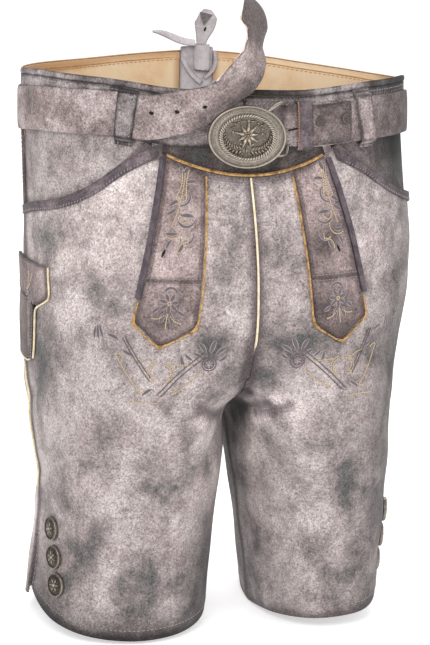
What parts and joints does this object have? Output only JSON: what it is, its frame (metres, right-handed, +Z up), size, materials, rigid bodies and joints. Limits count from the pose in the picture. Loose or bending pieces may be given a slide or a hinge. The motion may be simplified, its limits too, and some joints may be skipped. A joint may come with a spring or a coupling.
{
  "type": "lederhosen",
  "caption": "Short leather trousers, worn hollow form, with flap bands, slanted and knife pockets, buttoned side slits, back lacing and a belt with oval buckle.",
  "frame": {"origin": "middle of the waist at half the belt's height, where the wearer holds the trousers up", "axes": "+X is the wearer's left, -Y is the front, +Z is up"},
  "size_m": [0.3462, 0.2607, 0.5581],
  "materials": {
    "suede": "stone-washed mottled suede, mauve-grey",
    "suede_dark": "dark grey suede",
    "belt": "mid grey nubuck",
    "lining": "smooth tan lining leather",
    "piping": "gold piping leather",
    "binding": "dark rolled edge leather",
    "lace": "off-white lace leather",
    "pewter": "antique pewter"
  },
  "bodies": {
    "root": {"back_panel_l": "suede", "back_panel_r": "suede", "band_piping_l": "piping", "band_piping_r": "piping", "band_roll_l": "binding", "band_roll_r": "binding", "band_tip_l": "suede", "band_tip_r": "suede", "belt": "belt", "belt_keeper": "binding", "belt_loop_back_l": "suede", "belt_loop_back_r": "suede", "belt_loop_front_l": "suede", "belt_loop_front_r": "suede", "belt_return": "belt", "belt_snap_1": "pewter", "belt_snap_2": "pewter", "buckle_flower": "pewter", "buckle_frame": "pewter", "buckle_leaf_l": "pewter", "buckle_leaf_r": "pewter", "buckle_plate": "pewter", "buckle_rope": "pewter", "centre_piping": "piping", "flap_band_l": "suede", "flap_band_r": "suede", "flap_piping": "piping", "front_panel_l": "suede", "front_panel_r": "suede", "hem_button_l1": "pewter", "hem_button_l2": "pewter", "hem_button_l3": "pewter", "hem_button_r1": "pewter", "hem_button_r2": "pewter", "hem_button_r3": "pewter", "hip_facing_l": "suede", "hip_facing_r": "suede", "knife_cuff": "suede_dark", "knife_piping": "piping", "knife_pocket": "suede_dark", "lace_cross_1": "lace", "lace_cross_2": "lace", "lace_cross_3": "lace", "lace_end": "lace", "lace_gusset": "lace", "lace_tab": "lace", "lace_tongue": "lace", "lining_l": "lining", "lining_r": "lining", "pocket_binding_l": "binding", "pocket_binding_r": "binding", "rim_edge_l": "binding", "rim_edge_r": "binding", "side_piping_l": "piping", "side_piping_r": "piping", "underflap": "suede_dark", "waistband_back_l": "suede", "waistband_back_r": "suede", "waistband_front_l": "suede", "waistband_front_r": "suede"}
  },
  "joints": []
}
